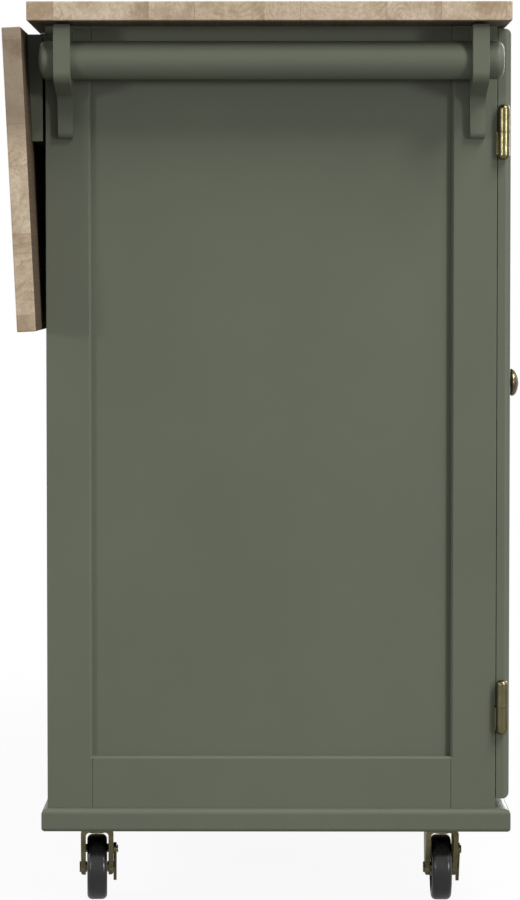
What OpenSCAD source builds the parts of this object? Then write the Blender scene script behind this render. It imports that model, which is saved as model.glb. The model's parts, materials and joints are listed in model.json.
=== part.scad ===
// Drop leaf kitchen island on four casters: a painted cabinet with a door at each end of its front
// and three drawers between them, under a staved wood worktop with a hinged leaf along its back.
// X runs along the worktop, the doors face -Y, the leaf hangs at +Y, and Z is up from the floor.
// The pieces are drawn about the worktop's centre line and moved together to the final origin.

/* [Overall] */
// Height of the worktop above the floor
total_h = 914; // [860:1:960]
// Length of the worktop and of the leaf
top_l = 1118; // [1040:1:1300]
// Depth of the worktop, without the leaf
top_d = 478; // [460:1:520]
// Thickness of the worktop and of the leaf
top_t = 19; // [16:1:24]
// Worktop past the cabinet at each end
end_overhang = 70; // [66:1:90]
// Worktop past the cabinet at the back
back_overhang = 13.6; // [12.6:0.1:15]
// Worktop past the cabinet at the front
front_overhang = 9.6; // [8:0.1:12]
// Radius that eases the worktop's edges
top_ease = 1.2; // [0.6:0.1:2.5]

/* [Cabinet] */
// Thickness of the side, back and face frames
frame_t = 18; // [16:1:22]
// Width of the stiles of the side frames
side_stile = 45.4; // [40:0.2:55]
// Height of the side and back frames' lower rail
low_rail = 52.8; // [45:0.2:60]
// Height of the side and back frames' upper rail
high_rail = 45.4; // [40:0.2:60]
// Thickness of the side and back panels
panel_t = 6; // [4:0.5:8]
// Depth of a panel's face behind its frame
panel_inset = 8; // [5:0.5:9]
// Width of the bevel round a panel opening
bevel = 2; // [1:0.25:3]
// Depth of the groove that holds a panel
groove = 8; // [5:0.5:10]
// Clearance round a panel in its groove
panel_clear = 0.2; // [0.1:0.05:0.3]
// Half width and depth of the V where a rail meets a stile
joint_v = 0.7; // [0.3:0.1:1]
// Glue line between joined boards
glue = 0.05; // [0.03:0.01:0.1]
// Width of the face frame's end stiles
face_stile = 25; // [20:1:30]
// Width of the face frame's posts beside the drawers
post_w = 38; // [30:1:44]
// Height of the face frame's lower rail
face_low = 35; // [30:1:45]
// Height of the face frame's upper rail
face_high = 40; // [30:1:50]
// Height of the rails between drawers
face_mid = 24; // [20:1:30]
// Thickness of the two upright partitions
partition_t = 15; // [12:1:18]
// Thickness of the cabinet floor
floor_t = 12; // [9:1:16]
// Width of the boards that tie the top of the cabinet
stretcher_w = 80; // [60:1:100]
// Thickness of those boards
stretcher_t = 18; // [15:1:22]
// Width of the back frame's middle stile
back_mid = 60; // [45:1:80]
// Height of the back frame's upper rail, which carries the leaf supports
back_high_rail = 130; // [125:1:150]

/* [Base] */
// Height of the base moulding
base_h = 23.5; // [20:0.5:30]
// How far the base stands out at the back and the ends
base_out = 6; // [4:0.2:8]
// How far the base stands out at the front
base_out_front = 15.3; // [13:0.1:18]
// Width of the mitred base boards
base_w = 95; // [90:1:110]
// Radius along the base's upper edge
base_round_top = 5.5; // [3:0.5:6]
// Radius along the base's lower edge
base_round_low = 4; // [2:0.5:6]

/* [Shelves] */
// Thickness of a shelf
shelf_t = 15; // [12:1:18]
// Height of a shelf's underside above the cabinet floor
shelf_rise = 360; // [300:1:420]
// Diameter of the shelf pins
pin_d = 5; // [4:0.5:6]
// Depth of a pin hole, and how far a pin stands out of it
pin_depth = 9; // [7:0.5:10]
// Height from one pin hole to the next
pin_pitch = 32; // [25:1:40]
// Pin holes above and below the one in use
pin_spare = 2; // [1:1:3]

/* [Doors and drawers] */
// Width of a door
door_w = 287; // [260:1:310]
// Thickness of the doors and drawer fronts
door_t = 13.5; // [12.5:0.1:15]
// Gap between a closed door and the cabinet
door_gap = 0.7; // [0.6:0.1:2]
// Gap between the worktop and the doors
door_top_gap = 2.5; // [2:0.1:4]
// Gap between the base and the doors
door_low_gap = 10; // [8:0.5:12]
// How far a door's outer edge stays inside the cabinet's end
door_end_in = 1; // [0.5:0.1:2]
// Gap between neighbouring doors and drawer fronts
reveal = 3; // [2:0.1:4]
// Width of the doors' stiles and rails
door_frame_w = 55; // [45:1:65]
// Radius along the front edges of doors and drawers
front_round = 6.5; // [4:0.25:8]
// Thickness of a door's panel
door_panel_t = 5; // [4:0.25:6]
// Depth of a door panel's face behind its frame
door_panel_inset = 5.5; // [4:0.25:6]
// Height of the top drawer's front
front_h_top = 180; // [150:1:200]
// Height of the middle drawer's front
front_h_mid = 270; // [220:1:290]
// Thickness of the drawer boxes' boards
box_t = 12; // [9:0.5:15]
// Thickness of a drawer's bottom
box_bottom_t = 5; // [4:0.5:6]
// Front to back length of a drawer box
box_l = 380; // [330:1:395]
// Clearance over a drawer box in its opening
box_air = 22; // [16:1:30]
// Clearance under a drawer box in its opening
box_under = 5; // [4:1:10]

/* [Drawer runners] */
// Space that a runner takes beside a drawer
runner_w = 12.7; // [12.7:0.1:14]
// Height of a runner
runner_h = 45; // [35:1:46]
// Thickness of the runner's steel
runner_steel = 1.2; // [1:0.1:1.6]
// Width of the runner's lips
runner_lip = 9; // [7:0.5:10]
// Running clearance inside a runner
runner_clear = 0.3; // [0.25:0.05:0.5]

/* [Door hinges] */
// Diameter of a door hinge's barrel
barrel_d = 12; // [10:0.5:12]
// Length of a door hinge's barrel
barrel_l = 55; // [45:1:60]
// Diameter of a door hinge's pin
hinge_pin_d = 6; // [4:0.5:7]
// Width of a door hinge's leaf
leaf_plate_w = 30; // [24:1:36]
// Thickness of a door hinge's leaf, which is let in flush
leaf_plate_t = 1.2; // [1:0.1:1.6]
// Upper hinge below the top of the door
hinge_down = 104; // [80:1:130]
// Lower hinge above the bottom of the door
hinge_up = 94; // [80:1:130]

/* [Knobs] */
// Diameter of a knob
knob_d = 30; // [24:1:34]
// How far a knob stands out
knob_out = 27.4; // [22:0.2:30]
// Knob in from the free edge of its door
knob_in = 41; // [25:1:45]
// Knob above the middle of its door
knob_above = 24.5; // [0:0.5:60]

/* [Drop leaf] */
// Width of the leaf
leaf_w = 300; // [260:1:330]
// Gap between the worktop and the raised leaf
leaf_gap = 1; // [0.8:0.1:1.5]
// Hinge axis below the worktop
hinge_drop = 5; // [4.5:0.1:6]
// Radius of the leaf hinges' knuckles
knuckle_r = 2.8; // [2.4:0.1:2.9]
// Diameter of the leaf hinges' pins
leaf_pin_d = 2.4; // [2:0.1:3]
// Length of a leaf hinge
leaf_hinge_l = 60; // [45:1:80]
// Reach of a leaf hinge's plates from its axis
leaf_hinge_reach = 28; // [22:1:34]
// Thickness of a leaf hinge's plates
leaf_hinge_t = 1.2; // [1:0.1:1.5]
// Distance from the middle hinge to the outer ones
leaf_hinge_pitch = 370; // [320:1:420]

/* [Leaf supports] */
// Length of a folding support board
wing_l = 230; // [200:1:240]
// Height of a support board
wing_h = 107; // [90:1:115]
// Thickness of a support board along its lower edge
wing_t = 10.5; // [9.5:0.1:11.5]
// Gap between a support board and the cabinet's back
wing_gap = 3; // [2.8:0.1:3.4]
// Top of a support board below the worktop
wing_down = 8.2; // [8.2:0.1:10]
// Gap where the hanging leaf leans on the supports
lean_gap = 0.3; // [0.25:0.05:0.4]
// Clearance between a rest cleat and the support board under it
cleat_clear = 0.7; // [0.4:0.1:1]

/* [Towel bar] */
// Diameter of the towel bar
bar_d = 38; // [30:1:40]
// Distance from the bar's centre to the side frame
bar_out = 36; // [34:0.5:40]
// Height of the bar's centre below the worktop
bar_down = 36.5; // [34:0.5:42]
// Radius on the ends of the bar
bar_round = 7.5; // [6:0.5:15]
// Bar past the middle of a bracket at each end
bar_past = 24; // [20:0.5:26]
// Thickness of a towel bar bracket
bracket_t = 16.4; // [14:0.2:20]
// Middle of a bracket in from the cabinet's corner
bracket_in = 20.4; // [18:0.2:30]
// Wood in front of the bar in a bracket
bracket_lip = 7; // [5:0.5:9]
// Top of a bracket below the worktop
bracket_down = 2; // [1:0.5:4]
// Length of a bracket from top to tail
bracket_l = 111; // [100:1:130]
// Thickness of a bracket at its lower end
bracket_t_low = 14.4; // [13:0.2:16]
// Radius on the upper corner of a bracket
bracket_nose = 6; // [4:0.5:12]
// Radius where a bracket turns in under the bar
bracket_chin = 11; // [8:0.5:14]
// Fall of a bracket's underside towards its tail, in degrees
bracket_fall = 15; // [5:1:20]
// Radius where the underside runs into the tail
bracket_neck = 16; // [10:0.5:18]
// Thickness of a bracket's tail
bracket_tail = 9; // [8:0.5:12]
// Radius on the end of the tail
bracket_toe = 6; // [3:0.5:7]
// Clearance round the bar in its brackets
bar_clear = 0.15; // [0.1:0.05:0.25]

/* [Casters] */
// Height of the base above the floor
caster_h = 80; // [74:1:90]
// Depth that the casters' plates are let into the base
plate_in = 5.2; // [4:0.2:8]
// Diameter of a wheel
wheel_d = 66.8; // [58:0.2:67]
// Width of a wheel
wheel_w = 20.4; // [18:0.2:22]
// Radius along the tread's edges
tread_round = 5; // [3:0.5:7]
// Width over a fork's legs
fork_w = 33.4; // [32.8:0.2:38]
// Thickness of the fork's steel
fork_steel = 2.5; // [2:0.1:3]
// Depth of the rim turned in round a fork's legs
fork_rim = 5; // [4:0.2:5.2]
// Axle behind the swivel's axis
trail = 20; // [14:1:24]
// Diameter of an axle
axle_d = 8; // [6:0.5:10]
// Diameter of a swivel's kingpin
kingpin_d = 10; // [8:0.5:12]
// Diameter of a swivel's ball race
race_d = 36; // [32:1:46]
// Length of a mounting plate, across the cabinet
plate_l = 68; // [60:1:70]
// Width of a mounting plate
plate_w = 54; // [50:1:56]
// Thickness of a mounting plate
plate_t = 2.5; // [2:0.1:3]
// Caster centres in from the cabinet's ends
caster_in = 32; // [29:1:45]
// Caster centres in from the worktop's long edges
caster_in_y = 62; // [56:1:70]
// Turn of the back left caster
turn_back_left = 3.4; // [0:0.2:20]

/* [Fits] */
// Radial clearance of a pin, axle or kingpin in what turns on it
pin_clear = 0.05; // [0.02:0.01:0.1]
// Gap between faces that turn past each other
face_clear = 0.3; // [0.25:0.05:0.4]

/* [Hidden] */
$fn = 48;
// Overlap that lets a cut pass right through
eps = 1;

// Heights
top_z = total_h - top_t;
base_z = caster_h + base_h;
floor_z = base_z + face_low;
stretcher_z = top_z - stretcher_t;

// Planes of the cabinet
end_x = top_l / 2 - end_overhang;
inner_x = end_x - frame_t;
back_y = top_d / 2 - back_overhang;
front_y = -(top_d / 2 - front_overhang);
back_in_y = back_y - frame_t;
front_in_y = front_y + frame_t;
cab_mid_y = (back_y + front_y) / 2;

// Doors and drawer fronts
door_back_y = front_y - door_gap;
door_front_y = door_back_y - door_t;
door_z = base_z + door_low_gap;
door_h = top_z - door_top_gap - door_z;
door_end_x = end_x - door_end_in;
door_free_x = door_end_x - door_w;
front_half = door_free_x - reveal;
post_x = door_free_x - reveal / 2;
post_in_x = post_x - post_w / 2;
post_out_x = post_x + post_w / 2;
front_h_low = door_h - front_h_top - front_h_mid - 2 * reveal;
box_half = post_in_x - runner_w;

// Door hinges
barrel_r = barrel_d / 2;
barrel_x = door_end_x + face_clear + barrel_r;
barrel_y = front_y - face_clear - barrel_r;
hinge_zs = [door_z + hinge_up, door_z + door_h - hinge_down];

// The leaf hangs from its axis and leans on the lower edge of the supports
pivot_y = top_d / 2 + leaf_gap / 2;
pivot_z = top_z - hinge_drop;
wing_y = back_y + wing_gap;
wing_z = top_z - wing_down - wing_h;
lean_y = wing_y + wing_t - pivot_y;
lean_z = pivot_z - wing_z;
leaf_tilt = asin((hinge_drop - lean_gap) / norm([lean_y, lean_z])) - atan2(lean_y, lean_z);
leaf_back_y = pivot_y + (hinge_drop + top_t) * cos(leaf_tilt) - leaf_gap / 2 * sin(leaf_tilt);
cleat_h = wing_down - cleat_clear;

// Towel bar
bar_x = -(end_x + bar_out);
bar_z = top_z - bar_down;

// Casters: the fork's crown lies under the ball race
race_h = 3;
lower_race_h = 2;
mount_z = caster_h + plate_in;
race_gap_z = mount_z - plate_t - race_h;
crown_z = race_gap_z - face_clear - lower_race_h;
axle_z = wheel_d / 2;
caster_x = end_x - caster_in;
caster_y = top_d / 2 - caster_in_y;

// The origin is the middle of the whole outline, on the floor
knob_tip_y = door_front_y - knob_out;
shift_y = -(knob_tip_y + leaf_back_y) / 2;

// Paints and finishes
paint = [0.38, 0.40, 0.34];
oak = [0.72, 0.61, 0.50];
birch = [0.83, 0.74, 0.60];
brass = [0.62, 0.55, 0.33];
steel = [0.70, 0.71, 0.72];
black = [0.06, 0.06, 0.06];

// Block between two opposite corners
module block(low, high) {
    translate(low) cube(high - low);
}

// Flat rectangle from the origin with round corners of radius r
module soft_rect(w, h, r) {
    translate([r, 0]) square([w - 2 * r, h]);
    translate([0, r]) square([w, h - 2 * r]);
    for (x = [r, w - r], y = [r, h - r]) translate([x, y]) circle(r);
}

// Board with all its edges eased by radius r
module eased_board(size, r) {
    intersection() {
        linear_extrude(size.z) soft_rect(size.x, size.y, r);
        translate([0, size.y, 0]) rotate([90, 0, 0]) linear_extrude(size.y)
            soft_rect(size.x, size.z, r);
        rotate([90, 0, 90]) linear_extrude(size.x) soft_rect(size.y, size.z, r);
    }
}

// Points of an arc about a centre, from one angle to another
function arc(centre, r, a0, a1, n = 8) =
    [for (i = [0:n]) centre + r * [cos(a0 + (a1 - a0) * i / n), sin(a0 + (a1 - a0) * i / n)]];

// Outline of a board of width w and thickness t whose two front corners (y = 0) are round
module front_profile(w, t, r) {
    translate([r, 0]) square([w - 2 * r, t]);
    translate([0, r]) square([w, t - r]);
    for (x = [r, w - r]) translate([x, r]) circle(r);
}

// Board of a door or drawer: front face on y = 0, front edges rounded, back at y = t
module front_board(w, h, t, r) {
    intersection() {
        linear_extrude(h) front_profile(w, t, r);
        mirror([1, 0, 0]) rotate([0, -90, 0]) linear_extrude(w) front_profile(h, t, r);
    }
}

// Opening of w by h through a frame, with a bevelled mouth at y = 0
module bevelled_opening(w, h, t, b) {
    translate([0, -eps, 0]) cube([w, t + 2 * eps, h]);
    intersection() {
        translate([0, 0, -b]) linear_extrude(h + 2 * b)
            polygon([[-b, 0], [-b, -eps], [w + b, -eps], [w + b, 0], [w, b], [0, b]]);
        translate([-b, 0, 0]) rotate([90, 0, 90]) linear_extrude(w + 2 * b)
            polygon([[0, -b], [-eps, -b], [-eps, h + b], [0, h + b], [b, h], [b, 0]]);
    }
}

// V along the joint line between a stile and a rail, on the face y = 0
module joint_line(x, z0, z1) {
    translate([x, 0, z0]) rotate([0, 0, 45]) translate([-joint_v, -joint_v, 0] / sqrt(2))
        cube([sqrt(2) * joint_v, sqrt(2) * joint_v, z1 - z0]);
}

// Frame of two full height stiles, a lower and an upper rail and any middle stile, each a piece
// of its own. It stands on z = 0 with its face on y = 0, and children() is its uncut blank.
module stile_and_rail(w, h, t, stile, low, high, mid, inset, panel, deep) {
    bays = mid > 0 ? 2 : 1;
    bay_w = (w - 2 * stile - (bays - 1) * mid) / bays;
    bay_h = h - low - high;
    rail_l = w - 2 * stile - 2 * glue;
    pieces = concat(
        [[0, 0, stile, h], [w - stile, 0, stile, h], [stile + glue, 0, rail_l, low],
         [stile + glue, h - high, rail_l, high]],
        mid > 0 ? [[stile + bay_w, low + glue, mid, bay_h - 2 * glue]] : []);
    for (p = pieces) intersection() {
        difference() {
            children();
            for (i = [0:bays - 1]) translate([stile + i * (bay_w + mid), 0, low]) {
                bevelled_opening(bay_w, bay_h, t, bevel);
                translate([-deep, inset, -deep])
                    cube([bay_w + 2 * deep, panel, bay_h + 2 * deep]);
            }
            for (x = [stile, w - stile], z = [[0, low - bevel], [h - high + bevel, h]])
                joint_line(x, z[0], z[1]);
        }
        translate([p[0], -eps, p[1]]) cube([p[2], t + 2 * eps, p[3]]);
    }
}

// Worktop and leaf
module worktop() {
    color(oak) translate([-top_l / 2, -top_d / 2, top_z])
        eased_board([top_l, top_d, top_t], top_ease);
}

// Turns what is drawn in the raised place of the leaf down to where it hangs
module hung() {
    translate([0, pivot_y, pivot_z]) rotate([-(90 + leaf_tilt), 0, 0])
        translate([0, -pivot_y, -pivot_z]) children();
}

module drop_leaf() {
    color(oak) hung() translate([-top_l / 2, pivot_y + leaf_gap / 2, top_z])
        eased_board([top_l, leaf_w, top_t], top_ease);
}

leaf_hinge_xs = [-leaf_hinge_pitch, 0, leaf_hinge_pitch];
knuckle_l = (leaf_hinge_l - 2 * face_clear) / 3;

// Plate and knuckles of one leaf hinge in the raised place: side is -1 under the worktop and
// 1 under the leaf
module leaf_hinge_half(side, knuckles, bore_r) {
    wall_y = pivot_y + side * (knuckle_r - leaf_hinge_t / 2) - leaf_hinge_t / 2;
    plate_y = pivot_y + (side > 0 ? knuckle_r - leaf_hinge_t : -leaf_hinge_reach);
    difference() {
        union() {
            for (k = knuckles) translate([k * (knuckle_l + face_clear) - leaf_hinge_l / 2, 0, 0]) {
                translate([0, pivot_y, pivot_z]) rotate([0, 90, 0])
                    cylinder(r = knuckle_r, h = knuckle_l);
                block([0, wall_y, pivot_z], [knuckle_l, wall_y + leaf_hinge_t, top_z]);
            }
            translate([-leaf_hinge_l / 2, plate_y, top_z - leaf_hinge_t])
                cube([leaf_hinge_l, leaf_hinge_reach - knuckle_r + leaf_hinge_t, leaf_hinge_t]);
        }
        translate([-leaf_hinge_l, pivot_y, pivot_z]) rotate([0, 90, 0])
            cylinder(r = bore_r, h = 2 * leaf_hinge_l);
    }
}

module leaf_hinge_top_plates() {
    color(steel) for (x = leaf_hinge_xs) translate([x, 0, 0])
        leaf_hinge_half(-1, [0, 2], leaf_pin_d / 2 + pin_clear / 2);
}

module leaf_hinge_leaf_plates() {
    color(steel) hung() for (x = leaf_hinge_xs) translate([x, 0, 0])
        leaf_hinge_half(1, [1], leaf_pin_d / 2 + pin_clear);
}

module leaf_hinge_pins() {
    color(steel) for (x = leaf_hinge_xs) translate([x - leaf_hinge_l / 2, pivot_y, pivot_z])
        rotate([0, 90, 0]) cylinder(r = leaf_pin_d / 2, h = leaf_hinge_l);
}

// Folding supports, shut flat against the cabinet's back
wing_in_x = end_x - wing_l;

// The outer face is bevelled to lie along the leaf, with a pocket for the leaf hinge's plate
module leaf_support(side) {
    out_y = wing_y + wing_t;
    color(paint) difference() {
        translate([side > 0 ? wing_in_x : -end_x, wing_y, wing_z]) rotate([90, 0, 90])
            linear_extrude(wing_l) polygon([[0, 0], [wing_t, 0],
                                            [wing_t + wing_h * tan(leaf_tilt), wing_h], [0, wing_h]]);
        for (x = leaf_hinge_xs)
            block([x - leaf_hinge_l / 2 - 2 * face_clear, out_y,
                   pivot_z - leaf_hinge_reach - 2 * face_clear],
                  [x + leaf_hinge_l / 2 + 2 * face_clear, out_y + wing_h, top_z]);
    }
}

module leaf_support_left() {
    leaf_support(-1);
}

module leaf_support_right() {
    leaf_support(1);
}

support_barrel_r = 3.4;
support_plate_w = 26;
support_plate_t = wing_gap / 2 - face_clear / 2;

// Hinge at the inner end of a support: one plate on the cabinet's back, one behind the support
module leaf_support_hinges() {
    barrel_cx = wing_in_x - support_barrel_r - face_clear;
    low = wing_z + wing_h * 0.2;
    high = wing_z + wing_h * 0.8;
    color(steel) for (side = [-1, 1]) scale([side, 1, 1]) {
        translate([barrel_cx, back_y + support_barrel_r, low])
            cylinder(r = support_barrel_r, h = high - low);
        block([barrel_cx - support_plate_w, back_y, low],
              [barrel_cx, back_y + support_plate_t, high]);
        block([barrel_cx, wing_y - support_plate_t, low],
              [barrel_cx + support_plate_w, wing_y, high]);
    }
}

cleat_l = 44;
cleat_w = 30;
cleat_reach = wing_l - 35;

module leaf_rest_cleats() {
    color(oak) hung() for (side = [-1, 1])
        translate([side * (wing_in_x + wing_t / 2) - cleat_l / 2,
                   pivot_y + cleat_reach - cleat_w / 2, top_z - cleat_h])
            eased_board([cleat_l, cleat_w, cleat_h], top_ease);
}

// Cabinet sides: the frame's face looks out along X
frame_h = top_z - base_z;

// Moves a frame drawn on y = 0 to the end of the cabinet on the given side
module at_end(side) {
    scale([side, 1, 1]) translate([end_x, front_y, base_z]) rotate([0, 0, 90]) children();
}

shelf_z = floor_z + shelf_rise;
pin_z = shelf_z - pin_d / 2 - 0.1;
pin_front_y = front_y + side_stile * 2 / 3;
pin_back_y = back_y - side_stile * 2 / 3;

// Rows of shelf pin holes drilled from the plane x = 0 towards +X
module pin_holes() {
    for (y = [pin_front_y, pin_back_y], k = [-pin_spare:pin_spare])
        translate([-eps, y, pin_z + k * pin_pitch]) rotate([0, 90, 0])
            cylinder(r = pin_d / 2 + pin_clear, h = pin_depth + eps + 0.5);
}

module side_frame(side) {
    color(paint) difference() {
        at_end(side) stile_and_rail(back_y - front_y, frame_h, frame_t, side_stile, low_rail, high_rail,
                                    0, panel_inset, panel_t + panel_clear, groove)
            cube([back_y - front_y, frame_t, frame_h]);
        scale([side, 1, 1]) {
            translate([inner_x, 0, 0]) pin_holes();
            translate([0, front_y, 0]) leaf_recess(-1);
        }
    }
}

module side_panel(side) {
    color(paint) at_end(side) translate([side_stile - groove + panel_clear, panel_inset + panel_clear / 2,
                                         low_rail - groove + panel_clear])
        cube([back_y - front_y - 2 * (side_stile - groove + panel_clear), panel_t,
              frame_h - low_rail - high_rail + 2 * (groove - panel_clear)]);
}

module side_frame_left() {
    side_frame(-1);
}

module side_frame_right() {
    side_frame(1);
}

module side_panel_left() {
    side_panel(-1);
}

module side_panel_right() {
    side_panel(1);
}

// Back of the cabinet, between the side frames
module at_back() {
    translate([inner_x, back_y, base_z]) rotate([0, 0, 180]) children();
}

back_bay = (2 * inner_x - 2 * side_stile - back_mid) / 2;

// The upper rail is notched for the plates of the leaf hinges
module back_frame() {
    color(paint) difference() {
        at_back() stile_and_rail(2 * inner_x, frame_h, frame_t, side_stile, low_rail, back_high_rail,
                                 back_mid, panel_inset, panel_t + panel_clear, groove)
            cube([2 * inner_x, frame_t, frame_h]);
        for (x = leaf_hinge_xs)
            block([x - leaf_hinge_l / 2 - face_clear, pivot_y - leaf_hinge_reach - face_clear,
                   top_z - leaf_hinge_t - panel_clear],
                  [x + leaf_hinge_l / 2 + face_clear, back_y + eps, top_z + eps]);
    }
}

module back_panels() {
    color(paint) at_back() for (i = [0, 1])
        translate([side_stile + i * (back_bay + back_mid) - groove + panel_clear,
                   panel_inset + panel_clear / 2, low_rail - groove + panel_clear])
            cube([back_bay + 2 * (groove - panel_clear), panel_t,
                  frame_h - low_rail - back_high_rail + 2 * (groove - panel_clear)]);
}

// Base: four boards mitred at the corners, with a rounded outer edge
module base_profile() {
    difference() {
        square([base_w, base_h]);
        for (low = [0, 1]) {
            r = low > 0 ? base_round_low : base_round_top;
            translate([0, low > 0 ? 0 : base_h - r]) difference() {
                translate([-eps, low > 0 ? -eps : 0]) square([r + eps, r + eps]);
                translate([r, low > 0 ? r : 0]) circle(r);
            }
        }
    }
}

module base_board(length) {
    intersection() {
        rotate([90, 0, 90]) linear_extrude(length) base_profile();
        linear_extrude(base_h) polygon([[glue, 0], [length - glue, 0], [length - base_w - glue, base_w],
                                        [base_w + glue, base_w]]);
    }
}

base_half = end_x + base_out;
base_front_y = front_y - base_out_front;
base_back_y = back_y + base_out;

// The casters' plates are let into pockets under the base
module base_moulding() {
    pocket = [plate_w / 2 + panel_clear, plate_l / 2 + panel_clear];
    color(paint) difference() {
        union() {
            translate([-base_half, base_front_y, caster_h]) base_board(2 * base_half);
            translate([base_half, base_back_y, caster_h]) rotate([0, 0, 180])
                base_board(2 * base_half);
            translate([base_half, base_front_y, caster_h]) rotate([0, 0, 90])
                base_board(base_back_y - base_front_y);
            translate([-base_half, base_back_y, caster_h]) rotate([0, 0, -90])
                base_board(base_back_y - base_front_y);
        }
        for (x = [-1, 1], y = [-1, 1]) translate([x * caster_x, y * caster_y, 0])
            block([-pocket[0], -pocket[1], caster_h - eps], [pocket[0], pocket[1], mount_z]);
    }
}

module cabinet_floor() {
    color(birch) block([-inner_x, front_in_y, floor_z - floor_t], [inner_x, back_in_y, floor_z]);
}

front_zs = [door_z, door_z + front_h_low + reveal, door_z + door_h - front_h_top];
front_hs = [front_h_low, front_h_mid, front_h_top];
face_mid_zs = [for (i = [1, 2]) front_zs[i] - reveal / 2];

// Face frame: end stiles and posts run full height, rails fit between them
module face_frame() {
    rail_zs = [[base_z, floor_z], [top_z - face_high, top_z]];
    color(paint) {
        for (side = [-1, 1]) scale([side, 1, 1]) {
            difference() {
                block([inner_x - face_stile, front_y, base_z], [inner_x, front_in_y, top_z]);
                translate([0, front_y, 0]) leaf_recess(-1);
            }
            block([post_in_x, front_y, base_z], [post_out_x, front_in_y, top_z]);
            for (z = rail_zs)
                block([post_out_x + glue, front_y, z[0]],
                      [inner_x - face_stile - glue, front_in_y, z[1]]);
        }
        for (z = rail_zs)
            block([glue - post_in_x, front_y, z[0]], [post_in_x - glue, front_in_y, z[1]]);
        for (z = face_mid_zs)
            block([glue - post_in_x, front_y, z - face_mid / 2],
                  [post_in_x - glue, front_in_y, z + face_mid / 2]);
    }
}

partition_out_x = post_in_x + partition_t;

module partitions() {
    color(birch) for (side = [-1, 1]) scale([side, 1, 1]) difference() {
        block([post_in_x, front_in_y, floor_z], [partition_out_x, back_in_y, stretcher_z]);
        translate([partition_out_x, 0, 0]) mirror([1, 0, 0]) pin_holes();
    }
}

module top_stretchers() {
    color(birch) {
        block([-inner_x, front_in_y, stretcher_z], [inner_x, front_in_y + stretcher_w, top_z]);
        block([-inner_x, back_in_y - stretcher_w, stretcher_z], [inner_x, back_in_y, top_z]);
    }
}

// Shelves stand on four pins each
shelf_side = 1;
shelf_front = 6;
shelf_back = 8;

module shelf(side) {
    color(birch) scale([side, 1, 1])
        translate([partition_out_x + shelf_side, front_in_y + shelf_front, shelf_z])
            eased_board([inner_x - partition_out_x - 2 * shelf_side,
                         back_in_y - front_in_y - shelf_front - shelf_back, shelf_t], 1);
}

module shelf_left() {
    shelf(-1);
}

module shelf_right() {
    shelf(1);
}

module shelf_pins() {
    color(steel) for (side = [-1, 1], y = [pin_front_y, pin_back_y], x = [inner_x, partition_out_x])
        translate([side * x - pin_depth, y, pin_z]) rotate([0, 90, 0])
            cylinder(r = pin_d / 2, h = 2 * pin_depth);
}

// Towel bar: a turned rod with round ends through two shaped brackets
bracket_y = (back_y - front_y) / 2 - bracket_in;
bracket_edge = 2;

module towel_bar() {
    half = bracket_y + bar_past;
    r = bar_d / 2;
    color(paint) translate([bar_x, cab_mid_y, bar_z]) rotate([90, 0, 0]) rotate_extrude($fn = 96)
        polygon(concat([[0, -half]], arc([r - bar_round, -half + bar_round], bar_round, -90, 0),
                       arc([r - bar_round, half - bar_round], bar_round, 0, 90), [[0, half]]));
}

// Side view of a bracket: x is out from the frame, y is up, and the top back corner is the origin
module bracket_outline() {
    out = bar_out + bar_d / 2 + bracket_lip;
    chin = [out - bracket_chin, bracket_down - bar_down - bar_d / 2 + bracket_chin / 2];
    chin_end = chin + bracket_chin * [sin(bracket_fall), -cos(bracket_fall)];
    neck_x = bracket_tail + bracket_neck;
    neck_start_x = neck_x - bracket_neck * sin(bracket_fall);
    neck_start_y = chin_end[1] - (chin_end[0] - neck_start_x) * tan(bracket_fall);
    neck = [neck_x, neck_start_y - bracket_neck * cos(bracket_fall)];
    polygon(concat(
        [[0, 0]],
        arc([out - bracket_nose, -bracket_nose], bracket_nose, 90, 0),
        arc(chin, bracket_chin, 0, bracket_fall - 90),
        arc(neck, bracket_neck, 90 + bracket_fall, 180),
        arc([bracket_tail - bracket_toe, bracket_toe - bracket_l], bracket_toe, 0, -90),
        [[0, -bracket_l]]));
}

// Front view of a bracket: its tail tapers below the bar, and its upper corners are round
module bracket_front_outline() {
    half = bracket_t / 2;
    tail_z = -bracket_l / 2;
    polygon(concat(arc([bracket_edge - half, -bracket_edge], bracket_edge, 180, 90),
                   arc([half - bracket_edge, -bracket_edge], bracket_edge, 90, 0),
                   [[half, tail_z], [bracket_t_low / 2, -bracket_l - eps],
                    [-bracket_t_low / 2, -bracket_l - eps], [-half, tail_z]]));
}

module towel_bracket(side) {
    y = cab_mid_y + side * bracket_y;
    color(paint) difference() {
        translate([-end_x, y, top_z - bracket_down]) rotate([90, 0, 180]) intersection() {
            translate([0, 0, -bracket_t]) linear_extrude(2 * bracket_t) bracket_outline();
            rotate([0, 90, 0]) linear_extrude(2 * bar_out + bar_d) bracket_front_outline();
        }
        translate([bar_x, y - bracket_t, bar_z]) rotate([-90, 0, 0])
            cylinder(r = bar_d / 2 + bar_clear, h = 2 * bracket_t, $fn = 96);
    }
}

module towel_bracket_front() {
    towel_bracket(-1);
}

module towel_bracket_rear() {
    towel_bracket(1);
}

// Doors: side is -1 for the left one and 1 for the right one
module at_door(side) {
    scale([side, 1, 1]) translate([door_free_x, door_front_y, door_z]) children();
}

module door_frame(side) {
    color(paint) difference() {
        at_door(side) stile_and_rail(door_w, door_h, door_t, door_frame_w, door_frame_w, door_frame_w,
                                     0, door_panel_inset, door_panel_t + panel_clear, groove)
            front_board(door_w, door_h, door_t, front_round);
        scale([side, 1, 1]) translate([0, door_back_y, 0]) mirror([0, 1, 0]) leaf_recess(1);
    }
}

module door_panel(side) {
    in = door_frame_w - groove + panel_clear;
    color(paint) at_door(side) translate([in, door_panel_inset + panel_clear / 2, in])
        cube([door_w - 2 * in, door_panel_t, door_h - 2 * in]);
}

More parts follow.
